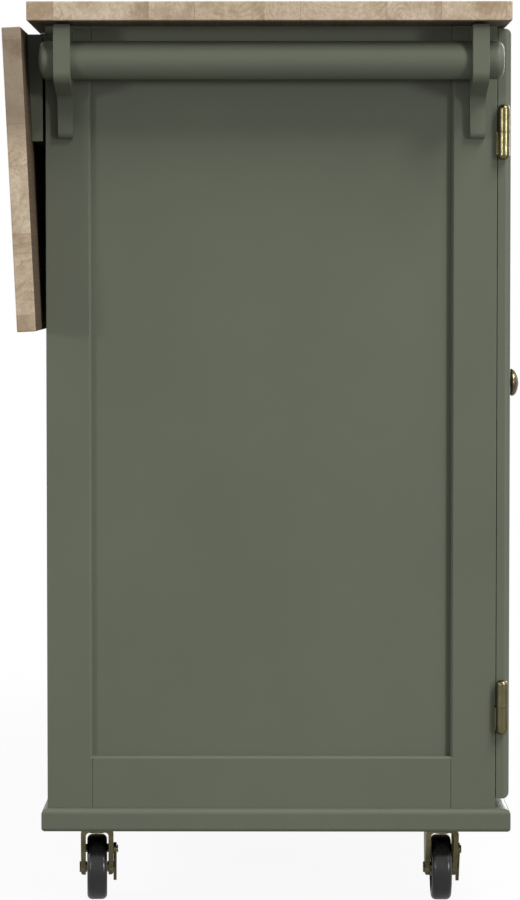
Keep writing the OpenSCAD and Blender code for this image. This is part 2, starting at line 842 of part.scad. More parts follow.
// Knob turned from solid brass, with a foot, a waist and a mushroom head, standing on y = 0
module knob() {
    r = knob_d / 2;
    edge = knob_d * 0.04;
    foot_r = knob_d * 0.34;
    waist_r = knob_d * 0.15;
    cove = foot_r - edge - waist_r;
    throat = knob_d * 0.12;
    crown = knob_d * 0.22;
    lip = knob_d * 0.09;
    head_y = knob_out - crown;
    rotate([90, 0, 0]) rotate_extrude($fn = 64) polygon(concat(
        [[0, 0]], arc([foot_r - edge, edge], edge, -90, 90, 6),
        arc([foot_r - edge, 2 * edge + cove], cove, -100, -180),
        arc([waist_r + throat, head_y - lip - throat], throat, 180, 100, 6),
        arc([r - lip, head_y], lip, -80, 0, 6),
        [for (i = [1:7]) [r * cos(i * 90 / 8), head_y + crown * sin(i * 90 / 8)]],
        [[0, knob_out]]));
}

knob_z = door_z + door_h / 2 + knob_above;

module door_knob(side) {
    color(brass) translate([side * (door_free_x + knob_in), door_front_y, knob_z]) knob();
}

// Half of a door hinge: barrel from z = 0 up, domed at the far end, with its leaf behind it
hinge_dome = 0.75 * barrel_r;
hinge_half_l = barrel_l / 2;

module hinge_half(leaf_y) {
    translate([barrel_x, barrel_y, 0]) rotate_extrude($fn = 64)
        polygon(concat([[0, 0], [barrel_r, 0]],
                       arc([barrel_r - hinge_dome, hinge_half_l - hinge_dome], hinge_dome, 0, 90),
                       [[0, hinge_half_l]]));
    block([door_end_x - leaf_plate_w, leaf_y, 0],
          [barrel_x, leaf_y + leaf_plate_t, hinge_half_l - hinge_dome]);
}

// Recess that lets a hinge leaf in flush, cut from the plane y = 0 towards +Y
module leaf_recess(side) {
    for (z = hinge_zs) translate([0, 0, z]) scale([1, 1, side])
        block([door_end_x - leaf_plate_w - panel_clear, -eps, -face_clear],
              [end_x + eps, leaf_plate_t + glue, hinge_half_l - hinge_dome + face_clear]);
}

module door_hinge_leaves(side) {
    color(brass) scale([side, 1, 1]) for (z = hinge_zs) translate([0, 0, z]) difference() {
        translate([0, 0, face_clear / 2]) hinge_half(door_back_y - leaf_plate_t);
        translate([barrel_x, barrel_y, -eps])
            cylinder(r = hinge_pin_d / 2 + pin_clear, h = hinge_pin_l + hinge_dome / 2 + eps);
    }
}

hinge_pin_l = barrel_l * 0.4;

module door_hinge_bases() {
    color(brass) for (side = [-1, 1]) scale([side, 1, 1]) for (z = hinge_zs) translate([0, 0, z]) {
        mirror([0, 0, 1]) translate([0, 0, face_clear / 2]) hinge_half(front_y);
        translate([barrel_x, barrel_y, -face_clear]) cylinder(r = hinge_pin_d / 2, h = hinge_pin_l);
    }
}

// Magnetic catches under the face frame's upper rail, near the free edge of each door
catch_l = 42;
catch_h = 14;
catch_foot_h = 18;
catch_foot_t = 3;
catch_in = 30;

module door_catches() {
    rail_z = top_z - face_high;
    catch_x = post_out_x + catch_in;
    color(black) for (side = [-1, 1]) scale([side, 1, 1]) {
        block([catch_x, door_back_y + face_clear, rail_z - catch_h],
              [catch_x + catch_l, front_in_y + catch_h, rail_z]);
        block([catch_x, front_in_y, rail_z - catch_h],
              [catch_x + catch_l, front_in_y + catch_foot_t, rail_z + catch_foot_h]);
    }
}

module door_left_frame() {
    door_frame(-1);
}

module door_left_panel() {
    door_panel(-1);
}

module door_left_knob() {
    door_knob(-1);
}

module door_left_hinge_leaves() {
    door_hinge_leaves(-1);
}

module door_right_frame() {
    door_frame(1);
}

module door_right_panel() {
    door_panel(1);
}

module door_right_knob() {
    door_knob(1);
}

module door_right_hinge_leaves() {
    door_hinge_leaves(1);
}

// Drawers are numbered from the bottom: 0, 1 and 2
bay_lows = [floor_z, face_mid_zs[0] + face_mid / 2, face_mid_zs[1] + face_mid / 2];
bay_highs = [face_mid_zs[0] - face_mid / 2, face_mid_zs[1] - face_mid / 2, top_z - face_high];
runner_up = 12;
bottom_up = 10;
function box_low(i) = bay_lows[i] + box_under;
function box_high(i) = bay_highs[i] - box_air;
function runner_z(i) = box_low(i) + runner_h / 2 + runner_up;

module drawer_front(i) {
    color(paint) translate([-front_half, door_front_y, front_zs[i]])
        front_board(2 * front_half, front_hs[i], door_t, front_round);
}

// Box of five boards: the bottom sits in grooves in the other four
module drawer_box(i) {
    y0 = door_back_y;
    y1 = y0 + box_l;
    z0 = box_low(i);
    z1 = box_high(i);
    side_in = box_half - box_t;
    slot_z = z0 + bottom_up;
    slot_deep = box_t / 2;
    slot = [[-side_in - slot_deep, y0 + box_t - slot_deep, slot_z],
            [side_in + slot_deep, y1 - box_t + slot_deep, slot_z + box_bottom_t + panel_clear]];
    color(birch) {
        for (side = [-1, 1]) scale([side, 1, 1]) difference() {
            block([side_in, y0, z0], [box_half, y1, z1]);
            block([-slot[1].x, slot[0].y, slot_z], slot[1]);
        }
        for (y = [y0, y1 - box_t]) difference() {
            block([glue - side_in, y, z0], [side_in - glue, y + box_t, z1]);
            block(slot[0], slot[1]);
        }
        block(slot[0] + [1, 1, 0.5] * panel_clear, slot[1] - [1, 1, 0.5] * panel_clear);
    }
}

module drawer_knob(i) {
    color(brass) translate([0, door_front_y, front_zs[i] + front_hs[i] / 2]) knob();
}

// Runner channel of height h from z = 0, open towards -X, with lips of the given width
module channel(h, lip, length) {
    rotate([-90, 0, 0]) linear_extrude(length) difference() {
        translate([-lip, -h / 2]) square([lip, h]);
        translate([-lip - eps, runner_steel - h / 2])
            square([lip - runner_steel + eps, h - 2 * runner_steel]);
    }
}

slide_h = runner_h - 2 * runner_steel - 2 * runner_clear;
runner_y = front_in_y;

module drawer_slides(i) {
    color(steel) for (side = [-1, 1]) scale([side, 1, 1])
        translate([box_half, runner_y, runner_z(i)]) mirror([1, 0, 0])
            channel(slide_h, runner_lip, box_l - frame_t - box_t);
}

module drawer_runners() {
    color(steel) for (i = [0:2], side = [-1, 1]) scale([side, 1, 1])
        translate([post_in_x, runner_y, runner_z(i)]) channel(runner_h, runner_lip, box_l - box_t);
}

module drawer_bottom_front() {
    drawer_front(0);
}

module drawer_bottom_box() {
    drawer_box(0);
}

module drawer_bottom_knob() {
    drawer_knob(0);
}

module drawer_bottom_slides() {
    drawer_slides(0);
}

module drawer_middle_front() {
    drawer_front(1);
}

module drawer_middle_box() {
    drawer_box(1);
}

module drawer_middle_knob() {
    drawer_knob(1);
}

module drawer_middle_slides() {
    drawer_slides(1);
}

module drawer_top_front() {
    drawer_front(2);
}

module drawer_top_box() {
    drawer_box(2);
}

module drawer_top_knob() {
    drawer_knob(2);
}

module drawer_top_slides() {
    drawer_slides(2);
}

// Casters: each is drawn with its swivel on the Z axis and its wheel trailing towards +X
screw_hole_r = 2.6;
hole_in = 7;
plate_corner = 6;
race_cone = 4;
pin_head_d = kingpin_d + 7;
pin_head_h = 1.8;

module caster_plate() {
    pin_head_top = crown_z - fork_steel - face_clear;
    difference() {
        union() {
            translate([-plate_w / 2, -plate_l / 2, mount_z - plate_t])
                linear_extrude(plate_t) soft_rect(plate_w, plate_l, plate_corner);
            translate([0, 0, race_gap_z]) cylinder(d1 = race_d - race_cone, d2 = race_d, h = race_h);
        }
        for (x = [-1, 1], y = [-1, 1])
            translate([x * (plate_w / 2 - hole_in), y * (plate_l / 2 - hole_in),
                       mount_z - plate_t - eps])
                cylinder(r = screw_hole_r, h = plate_t + 2 * eps);
    }
    translate([0, 0, pin_head_top - pin_head_h / 2])
        cylinder(d = kingpin_d, h = race_gap_z - pin_head_top + pin_head_h);
    translate([0, 0, pin_head_top - pin_head_h]) cylinder(d = pin_head_d, h = pin_head_h);
}

// Arm of half width w0 at p0, inside a round boss, with a round end of radius r1 at p1
module arm(p0, w0, p1, r1) {
    d = p1 - p0;
    a = atan2(d[1], d[0]);
    side = w0 * [-sin(a), cos(a)];
    polygon(concat([p0 - side], arc(p1, r1, a - 90, a + 90), [p0 + side]));
}

fork_bend = 4;
leg_foot_r = 8.5;
leg_back_x = trail + 14;
crown_in = 3;
skirt_h = 10;

// Side view of a leg with the skirt of the crown, drawn in by inset
module leg_outline(inset) {
    front_x = crown_in - race_d / 2 + inset;
    back_x = leg_back_x - inset;
    foot_r = leg_foot_r - inset;
    polygon([[front_x, crown_z - inset], [back_x, crown_z - inset], [back_x, crown_z - skirt_h],
             [trail + foot_r, axle_z], [trail - foot_r, axle_z], [front_x, crown_z - skirt_h]]);
    translate([trail, axle_z]) circle(foot_r);
}

// Pressed steel fork: legs with a rim turned in all round, under a crown with the lower race
module caster_fork() {
    long = race_d + leg_back_x;
    foot_z = axle_z - leg_foot_r;
    slot_w = fork_w - 2 * fork_rim;
    pocket_w = fork_w - 2 * fork_steel;
    difference() {
        intersection() {
            translate([0, fork_w / 2, 0]) rotate([90, 0, 0]) linear_extrude(fork_w) leg_outline(0);
            translate([-race_d, -fork_w / 2, foot_z]) rotate([90, 0, 90]) linear_extrude(long)
                soft_rect(fork_w, crown_z - foot_z, fork_bend);
        }
        translate([-race_d, -slot_w / 2, -fork_steel]) rotate([90, 0, 90]) linear_extrude(long)
            soft_rect(slot_w, crown_z, fork_bend);
        translate([0, pocket_w / 2, 0]) rotate([90, 0, 0]) linear_extrude(pocket_w)
            leg_outline(fork_steel);
        translate([0, 0, crown_z - fork_steel - eps])
            cylinder(r = kingpin_d / 2 + pin_clear, h = fork_steel + 2 * eps);
        translate([trail, -fork_w, axle_z]) rotate([-90, 0, 0])
            cylinder(r = axle_d / 2 + pin_clear, h = 2 * fork_w);
    }
    translate([0, 0, crown_z]) difference() {
        cylinder(d1 = race_d, d2 = race_d - race_cone, h = lower_race_h);
        translate([0, 0, -eps]) cylinder(r = kingpin_d / 2 + pin_clear, h = lower_race_h + 2 * eps);
    }
    caster_axle();
}

// Axle bolt with a hexagonal head and nut outside the legs, and a spacer on each side of the wheel
axle_head_h = 1.4;
axle_head_r = axle_d / 2 + 1.8;
spacer_r = axle_d / 2 + 1.6;

module caster_axle() {
    half = fork_w / 2;
    spacer_l = half - fork_steel - wheel_w / 2 - face_clear - glue;
    translate([trail, 0, axle_z]) rotate([90, 0, 0]) {
        translate([0, 0, -half - axle_head_h]) cylinder(d = axle_d, h = fork_w + 2 * axle_head_h);
        for (s = [0, 1]) mirror([0, 0, s]) {
            translate([0, 0, half + glue]) cylinder(r = axle_head_r, h = axle_head_h, $fn = 6);
            translate([0, 0, wheel_w / 2 + face_clear]) difference() {
                cylinder(r = spacer_r, h = spacer_l);
                translate([0, 0, -eps]) cylinder(r = axle_d / 2 + pin_clear, h = half);
            }
        }
    }
}

// Moulded wheel: rounded tread, dished sides and a hub bored for the axle
dish = 3;
hub_r = axle_d / 2 + 5;
rim_w = 8;

module caster_wheel() {
    r = wheel_d / 2;
    half = wheel_w / 2;
    bore_r = axle_d / 2 + pin_clear;
    rim_r = r - rim_w;
    translate([trail, 0, axle_z]) rotate([90, 0, 0]) rotate_extrude($fn = 96) polygon(concat(
        [[bore_r, -half], [hub_r, -half], [hub_r + 1, dish - half], [rim_r - 1, dish - half],
         [rim_r, -half]],
        arc([r - tread_round, tread_round - half], tread_round, -90, 0),
        arc([r - tread_round, half - tread_round], tread_round, 0, 90),
        [[rim_r, half], [rim_r - 1, half - dish], [hub_r + 1, half - dish], [hub_r, half],
         [bore_r, half]]));
}

brake_t = 3.2;
brake_pivot = [trail + 8, axle_z + 17];
brake_pivot_r = 2.5;
brake_boss_r = 6.5;
brake_toe_r = 4.5;
rivet_head_r = 4;
rivet_head_h = 1.2;
pedal_t = 2.2;
pedal_gap = 2.1;
pedal_rise = 8;
pedal_l = 16;
pedal_corner = 3;

// Side brake: a flat lever outside the leg on a pivot, with a lower arm and a foot pedal that is
// turned in behind the wheel, where it bears on the tread when it is pressed
module caster_brake() {
    y = -fork_w / 2 - face_clear - brake_t;
    pedal = [trail + wheel_d / 2 + pedal_gap, axle_z + pedal_rise];
    toe = [trail + wheel_d / 2 - brake_boss_r, axle_z - 3.4 * brake_toe_r];
    difference() {
        union() {
            translate([0, y + brake_t, 0]) rotate([90, 0, 0]) linear_extrude(brake_t) {
                translate(brake_pivot) circle(brake_boss_r);
                arm(brake_pivot, brake_boss_r - 1, pedal + [2, 2], 5);
                arm(brake_pivot, brake_boss_r - 1, toe, brake_toe_r);
            }
            translate([pedal[0], y + brake_t / 2, pedal[1]]) rotate([0, -15, 0])
                linear_extrude(pedal_t) soft_rect(pedal_l, fork_w - 2, pedal_corner);
        }
        translate([brake_pivot[0], y - eps, brake_pivot[1]]) rotate([-90, 0, 0])
            cylinder(r = brake_pivot_r + pin_clear, h = brake_t + 2 * eps);
    }
}

// Rivet on the leg that carries the brake lever
module brake_rivet() {
    head_y = brake_t + 2 * face_clear;
    translate([brake_pivot[0], -fork_w / 2, brake_pivot[1]]) rotate([90, 0, 0]) {
        translate([0, 0, -fork_steel / 2])
            cylinder(r = brake_pivot_r, h = fork_steel / 2 + head_y + rivet_head_h / 2);
        translate([0, 0, head_y]) cylinder(r = rivet_head_r, h = rivet_head_h);
    }
}

// Places of the four casters: x side, y side and turn about the swivel
front_left = [-1, -1, 0];
back_left = [-1, 1, turn_back_left];
front_right = [1, -1, 0];
back_right = [1, 1, 0];

module at_caster(c) {
    translate([c[0] * caster_x, c[1] * caster_y, 0]) rotate([0, 0, c[2]]) children();
}

module caster_plates() {
    color(brass) for (c = [front_left, back_left, front_right, back_right])
        translate([c[0] * caster_x, c[1] * caster_y, 0]) caster_plate();
}

module braked_fork(c) {
    color(brass) at_caster(c) {
        caster_fork();
        brake_rivet();
    }
}

module caster_front_left_fork() {
    braked_fork(front_left);
}

module caster_front_left_wheel() {
    color(black) at_caster(front_left) caster_wheel();
}

module caster_front_left_brake() {
    color(brass) at_caster(front_left) caster_brake();
}

module caster_back_left_fork() {
    braked_fork(back_left);
}

module caster_back_left_wheel() {
    color(black) at_caster(back_left) caster_wheel();
}

module caster_back_left_brake() {
    color(brass) at_caster(back_left) caster_brake();
}

module caster_front_right_fork() {
    color(brass) at_caster(front_right) caster_fork();
}

module caster_front_right_wheel() {
    color(black) at_caster(front_right) caster_wheel();
}

module caster_back_right_fork() {
    color(brass) at_caster(back_right) caster_fork();
}

module caster_back_right_wheel() {
    color(black) at_caster(back_right) caster_wheel();
}

// Moves every piece to the final origin
module placed() {
    translate([0, shift_y, 0]) children();
}

placed() worktop();
placed() drop_leaf();
placed() leaf_hinge_top_plates();
placed() leaf_hinge_pins();
placed() leaf_hinge_leaf_plates();
placed() leaf_support_left();
placed() leaf_support_right();
placed() leaf_support_hinges();
placed() leaf_rest_cleats();
placed() side_frame_left();
placed() side_panel_left();
placed() side_frame_right();
placed() side_panel_right();
placed() back_frame();
placed() back_panels();
placed() base_moulding();
placed() cabinet_floor();
placed() face_frame();
placed() partitions();
placed() top_stretchers();
placed() shelf_left();
placed() shelf_right();
placed() shelf_pins();
placed() towel_bar();
placed() towel_bracket_front();
placed() towel_bracket_rear();
placed() door_left_frame();
placed() door_left_panel();
placed() door_left_knob();
placed() door_left_hinge_leaves();
placed() door_right_frame();
placed() door_right_panel();
placed() door_right_knob();
placed() door_right_hinge_leaves();
placed() door_hinge_bases();
placed() door_catches();
placed() drawer_top_front();
placed() drawer_top_box();
placed() drawer_top_knob();
placed() drawer_top_slides();
placed() drawer_middle_front();
placed() drawer_middle_box();
placed() drawer_middle_knob();
placed() drawer_middle_slides();
placed() drawer_bottom_front();
placed() drawer_bottom_box();
placed() drawer_bottom_knob();
placed() drawer_bottom_slides();
placed() drawer_runners();
placed() caster_plates();
placed() caster_front_left_fork();
placed() caster_front_left_wheel();
placed() caster_front_left_brake();
placed() caster_back_left_fork();
placed() caster_back_left_wheel();
placed() caster_back_left_brake();
placed() caster_front_right_fork();
placed() caster_front_right_wheel();
placed() caster_back_right_fork();
placed() caster_back_right_wheel();
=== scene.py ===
# %% [markdown]
# # A painted kitchen island with a drop leaf
#
# This lesson dresses a kitchen island: a sage green cabinet on casters, under a worktop of
# washed wood staves with a hinged leaf behind it. The solid pieces are already made to size and
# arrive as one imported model, so the work here is what solids can't hold: paint, grain, polish
# and the small fasteners. Everything is in metres, in the model's own frame: X runs along the
# worktop, the doors face -Y, the leaf hangs at +Y, and Z is up from the floor.

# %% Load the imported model
import json
import math

import bmesh
import bpy
from mathutils import Matrix, Vector


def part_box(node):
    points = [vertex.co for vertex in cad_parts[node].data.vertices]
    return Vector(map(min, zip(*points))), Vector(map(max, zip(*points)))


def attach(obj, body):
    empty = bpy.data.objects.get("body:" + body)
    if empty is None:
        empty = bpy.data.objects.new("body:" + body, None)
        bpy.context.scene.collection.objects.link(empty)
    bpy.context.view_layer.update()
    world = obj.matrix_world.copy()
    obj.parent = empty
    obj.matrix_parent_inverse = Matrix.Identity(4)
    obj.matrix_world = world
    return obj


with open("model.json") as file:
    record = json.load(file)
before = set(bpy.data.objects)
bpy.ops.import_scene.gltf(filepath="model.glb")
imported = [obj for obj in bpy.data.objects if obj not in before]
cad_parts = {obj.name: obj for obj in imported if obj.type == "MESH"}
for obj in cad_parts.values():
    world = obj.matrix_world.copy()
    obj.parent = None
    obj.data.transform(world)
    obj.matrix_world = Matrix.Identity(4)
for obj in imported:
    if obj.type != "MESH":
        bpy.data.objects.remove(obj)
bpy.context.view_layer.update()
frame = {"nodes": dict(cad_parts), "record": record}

nodes = frame["nodes"]
slot_of = {part["node"]: part["material_slot"] for part in frame["record"]["subparts"]}

# %% [markdown]
# ## Camera
#
# The island is seen square on to one end, through a long lens from 3 metres away. The camera
# stands at table height and looks slightly down, while the picture is shifted so that upright
# edges stay nearly upright, as an architect's camera does. A shorter lens closer by would show
# much more of the cabinet's front and back, so the distance matters more than the zoom.

# %% The camera
camera_data = bpy.data.cameras.new("camera")
camera_data.sensor_fit = "VERTICAL"
camera_data.sensor_height = 36
camera_data.lens = 121.63
camera_data.shift_y = -0.0604
camera_data.clip_end = 60
camera = bpy.data.objects.new("camera", camera_data)
camera.location = (-3.559, -0.0019, 0.654)
look_down = math.radians(2.44)
look_aside = math.radians(0.283)
camera.rotation_euler = (math.radians(90) - look_down, 0, math.radians(-90) + look_aside)
bpy.context.scene.collection.objects.link(camera)
bpy.context.scene.camera = camera
worktop_low, worktop_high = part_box("worktop")
gap = worktop_low[0] - camera.location.x
print("the camera is", round(gap, 2), "m in front of the worktop's end")

# %% [markdown]
# ## Helpers for node trees
#
# Each finish, and the world too, is a small tree of nodes. A tree is quick to read when every
# node takes one line, so these helpers make a node, set its sockets by name, and link a socket
# when the value given is itself another node's output. The finishes keep to Object coordinates:
# a piece's own place in metres, so that a grain of 3 mm is 3 mm on every piece.

# %% Node helpers
def put(tree, socket, value):
    """Links the value into the socket if it is an output, and otherwise sets it."""
    if isinstance(value, bpy.types.NodeSocket):
        tree.links.new(value, socket)
    else:
        socket.default_value = value


def add(tree, kind, inputs=None, **settings):
    """One shader node with its settings and its inputs by name."""
    node = tree.nodes.new("ShaderNode" + kind)
    for name, value in settings.items():
        setattr(node, name, value)
    for name, value in (inputs or {}).items():
        put(tree, node.inputs[name], value)
    return node


def maths(tree, operation, *values):
    """The output of one Math node."""
    node = tree.nodes.new("ShaderNodeMath")
    node.operation = operation
    for socket, value in zip(node.inputs, values):
        put(tree, socket, value)
    return node.outputs[0]


def between(tree, value, low, high, to_low=0.0, to_high=1.0):
    """The value moved from the range low..high to another range, and kept inside it."""
    inputs = {"Value": value, "From Min": low, "From Max": high,
              "To Min": to_low, "To Max": to_high}
    return add(tree, "MapRange", inputs).outputs["Result"]


def mixed(tree, share, first, second):
    """Two colours mixed: share 0 is the first and 1 is the second."""
    node = tree.nodes.new("ShaderNodeMix")
    node.data_type = "RGBA"
    put(tree, node.inputs[0], share)
    put(tree, node.inputs[6], first)
    put(tree, node.inputs[7], second)
    return node.outputs[2]


def srgb(red, green, blue):
    """A colour as a screen shows it, 0 to 255, as the linear values that a shader takes."""
    def linear(value):
        value /= 255
        return value / 12.92 if value <= 0.04045 else ((value + 0.055) / 1.055) ** 2.4
    return (linear(red), linear(green), linear(blue), 1)


def noise(tree, where, scale, detail=2.0, roughness=0.5):
    """The grey value of a noise texture."""
    inputs = {"Vector": where, "Scale": scale, "Detail": detail, "Roughness": roughness}
    return add(tree, "TexNoise", inputs).outputs["Fac"]


def place(tree, scale=(1, 1, 1), turn=(0, 0, 0), shift=(0, 0, 0)):
    """A piece's own coordinates, moved, turned and stretched."""
    where = add(tree, "TexCoord").outputs["Object"]
    inputs = {"Vector": where, "Location": shift, "Rotation": turn, "Scale": scale}
    return add(tree, "Mapping", inputs).outputs[0]


def new_finish(name):
    """A material, its tree and its Principled shader."""
    material = bpy.data.materials.new(name)
    material.use_nodes = True
    return material, material.node_tree, material.node_tree.nodes["Principled BSDF"]


def rounded(tree, shader, radius, height=None, depth=0.0):
    """Softens the sharp edges of a piece where light falls on them, and adds a relief."""
    normal = add(tree, "Bevel", {"Radius": radius}, samples=4).outputs[0]
    if height is not None:
        inputs = {"Height": height, "Distance": depth, "Normal": normal}
        normal = add(tree, "Bump", inputs).outputs[0]
    put(tree, shader.inputs["Normal"], normal)


print("helpers are ready")

# %% [markdown]
# ## Light
#
# The end of the island is lit by soft round lamps. Two of them, high and to the right of the
# camera, are the key: they let the worktop and the towel bar cast a soft shadow on the side
# panel. Two more stand at the height of the island, one on each side of the camera, and light
# the casters and the underside of the bar. None stands near the camera itself, because its
# light would take the shadows away. A lamp faces each long side, for the doors and the leaf, and
# the last one lights the far end for the other views.
#
# A lamp's power is easier to choose by what it does to a surface. A white matt surface that
# faces a small lamp of P watts at d metres shines with P / (pi * d)^2, so the cell below asks for
# that brightness and works out the watts. All that falls on the end adds up to a little under
# one, so a colour comes out about as it is written.

# %% The lamps
near_end, far_end = (-0.3, 0, 0.5), (0.3, 0, 0.5)


def soft_lamp(name, towards, distance, size, brightness, aim=near_end):
    """A round lamp that gives a white surface facing it at the aim the brightness asked for."""
    towards = Vector(towards).normalized()
    data = bpy.data.lights.new(name, "AREA")
    data.shape = "DISK"
    data.size = size
    data.energy = brightness * (math.pi * distance) ** 2
    lamp = bpy.data.objects.new(name, data)
    lamp.location = Vector(aim) + towards * distance
    lamp.rotation_euler = towards.to_track_quat("Z", "Y").to_euler()
    bpy.context.scene.collection.objects.link(lamp)
    print(name, round(data.energy), "W")


soft_lamp("key_lamp", (-1.00, -1.00, 2.10), 7.0, 2.4, 0.52)
soft_lamp("lower_key_lamp", (-1.00, -0.85, 1.12), 7.0, 1.4, 0.32)
soft_lamp("right_lamp", (-1.00, -0.82, 0.12), 5.0, 0.8, 0.24)
soft_lamp("left_lamp", (-1.00, 0.80, 0.12), 5.0, 0.6, 0.17)
soft_lamp("door_lamp", (0.10, -0.88, 0.44), 4.5, 1.1, 0.08)
soft_lamp("leaf_lamp", (0.02, 0.88, 0.47), 4.5, 1.7, 0.50)
soft_lamp("far_lamp", (0.90, -0.35, 0.27), 5.0, 2.4, 0.45, aim=far_end)

# %% [markdown]
# ## World
#
# The world does two jobs. To the camera, and in all that metal mirrors, it is a white backdrop
# of strength 1. To everything else it is a weak fill, which keeps the shadows from going black.
# The Light Path node tells one kind of ray from the other.

# %% The world
fill_strength = 0.16
white = (1, 1, 1, 1)
world = bpy.data.worlds.new("studio")
bpy.context.scene.world = world
world.use_nodes = True
tree = world.node_tree
tree.nodes.clear()
rays = add(tree, "LightPath").outputs
direct = maths(tree, "MAXIMUM", rays["Is Camera Ray"], rays["Is Glossy Ray"])
seen = maths(tree, "MAXIMUM", direct, rays["Is Transmission Ray"])
fill = add(tree, "Background", {"Color": white, "Strength": fill_strength})
backdrop = add(tree, "Background", {"Color": white, "Strength": 1.0})
choose = add(tree, "MixShader", {"Fac": seen})
put(tree, choose.inputs[1], fill.outputs[0])
put(tree, choose.inputs[2], backdrop.outputs[0])
add(tree, "OutputWorld", {"Surface": choose.outputs[0]})
bpy.context.scene.view_settings.view_transform = "Standard"
print("fill light", fill_strength)

# %% [markdown]
# ## Sage green paint
#
# The cabinet is sprayed with a satin paint. Up close it isn't one flat colour: the coat is a
# little thicker here and there, it has the fine stipple of dried spray, and it is burnished
# where hands and cloths rub its edges. Two noises vary the colour and the gloss. A Bevel node
# compares the surface with a rounded copy of itself, and the difference marks the edges.

# %% The paint
def green_paint():
    material, tree, shader = new_finish("green_paint")
    where = place(tree)
    cloudy = between(tree, noise(tree, where, 5, 3), 0.3, 0.7)
    coat = mixed(tree, cloudy, srgb(97, 101, 87), srgb(101, 105, 90))
    true_normal = add(tree, "NewGeometry").outputs["Normal"]
    soft_normal = add(tree, "Bevel", {"Radius": 0.0016}, samples=4).outputs[0]
    agree = add(tree, "VectorMath", operation="DOT_PRODUCT")
    put(tree, agree.inputs[0], true_normal)
    put(tree, agree.inputs[1], soft_normal)
    edge = between(tree, agree.outputs["Value"], 0.98, 0.8)
    patchy = between(tree, noise(tree, where, 45, 4), 0.4, 0.75)
    rubbed = maths(tree, "MULTIPLY", edge, patchy)
    put(tree, shader.inputs["Base Color"], mixed(tree, rubbed, coat, srgb(118, 122, 106)))
    gloss = between(tree, noise(tree, where, 60, 3), 0.3, 0.7, 0.36, 0.46)
    polish = maths(tree, "MULTIPLY", rubbed, 0.08)
    put(tree, shader.inputs["Roughness"], maths(tree, "SUBTRACT", gloss, polish))
    shader.inputs["Specular IOR Level"].default_value = 0.2
    stipple = noise(tree, where, 900, 2)
    rounded(tree, shader, 0.0008, stipple, 0.00003)
    return material


paint = green_paint()
print("made", paint.name)

# %% [markdown]
# ## Washed wood
#
# The worktop is glued up from staves 40 to 90 mm wide, each cut from another tree, then washed
# with a thin pale stain. A picture of wood wrapped round the slab would show the same figure on
# its end as on its top. Here the wood is solid instead: every stave gets its own growth rings
# round a heart that lies somewhere beside it, and the slab's faces cut through them. The long
# faces then show straight or flaming grain and the ends show arcs, without any special case.
# The rings of this timber are broad and faint. What the eye catches first are brown patches,
# where the stain took unevenly, and a few dark cracks that run in from the faces at a slant.
#
# First comes the pattern of staves. The place across the slab, divided by a stave's width,
# counts the staves: its whole part names the stave, and the rest says how far across it a point
# lies. The same along the stave gives its pieces, and a white noise throws three dice for each.

# %% The staves
stave_width, stave_length = 0.062, 0.43


def scaled(tree, where, scale):
    """The place with each axis multiplied by its own number."""
    node = add(tree, "VectorMath", operation="MULTIPLY")
    put(tree, node.inputs[0], where)
    node.inputs[1].default_value = scale
    return node.outputs[0]


def times(tree, first, second):
    """The product of two values."""
    return maths(tree, "MULTIPLY", first, second)


def staves(tree, along, across):
    """How far across its stave a point is, how many pieces along, and the dice of its piece."""
    wobble = {"W": across, "Scale": 11.0, "Detail": 0.0}
    uneven = add(tree, "TexNoise", wobble, noise_dimensions="1D").outputs["Fac"]
    stave_at = maths(tree, "MULTIPLY_ADD", uneven, 1.5, maths(tree, "DIVIDE", across, stave_width))
    stave = maths(tree, "FLOOR", stave_at)
    inside = maths(tree, "SUBTRACT", maths(tree, "FRACT", stave_at), 0.5)
    luck = add(tree, "TexWhiteNoise", {"W": stave}, noise_dimensions="1D").outputs["Value"]
    length_at = maths(tree, "MULTIPLY_ADD", luck, 7.3, maths(tree, "DIVIDE", along, stave_length))
    key = add(tree, "CombineXYZ", {"X": stave, "Y": maths(tree, "FLOOR", length_at)}).outputs[0]
    dice = add(tree, "TexWhiteNoise", {"Vector": key}, noise_dimensions="2D").outputs["Color"]
    return inside, length_at, dice


print("a stave is about", round(stave_width * 1000), "mm wide")

# %% [markdown]
# The rings are the distance from the heart, counted 165 to the metre and bent by a slow noise.
# Each ring darkens towards its outer half, the late wood, and fades in and out along the stave.
# A crack follows a spoke of the rings: it is where a slanted line across the stave comes close
# to a place that the dice chose.

# %% The rings, the cracks and the glue lines
rings_per_metre = 165
slab_z = 0.9


def growth_rings(tree, offset, up, own, throws):
    """How much late wood a point holds: offset is its distance from the middle of the stave."""
    heart_across = maths(tree, "MULTIPLY_ADD", throws["Red"], 0.10, -0.05)
    heart_up = maths(tree, "MULTIPLY_ADD", throws["Green"], 0.07, -0.015)
    bend = maths(tree, "MULTIPLY_ADD", noise(tree, own, 1.0, 3), 0.022, -0.011)
    spoke = {"X": maths(tree, "SUBTRACT", offset, heart_across),
             "Y": maths(tree, "SUBTRACT", up, maths(tree, "ADD", heart_up, slab_z))}
    radius = add(tree, "VectorMath", operation="LENGTH")
    put(tree, radius.inputs[0], add(tree, "CombineXYZ", spoke).outputs[0])
    bent = maths(tree, "ADD", radius.outputs["Value"], bend)
    ring = maths(tree, "FRACT", times(tree, bent, rings_per_metre))
    faint = between(tree, noise(tree, own, 0.8, 2), 0.35, 0.65, 0.1, 1.0)
    return times(tree, between(tree, ring, 0.5, 1.0), faint)


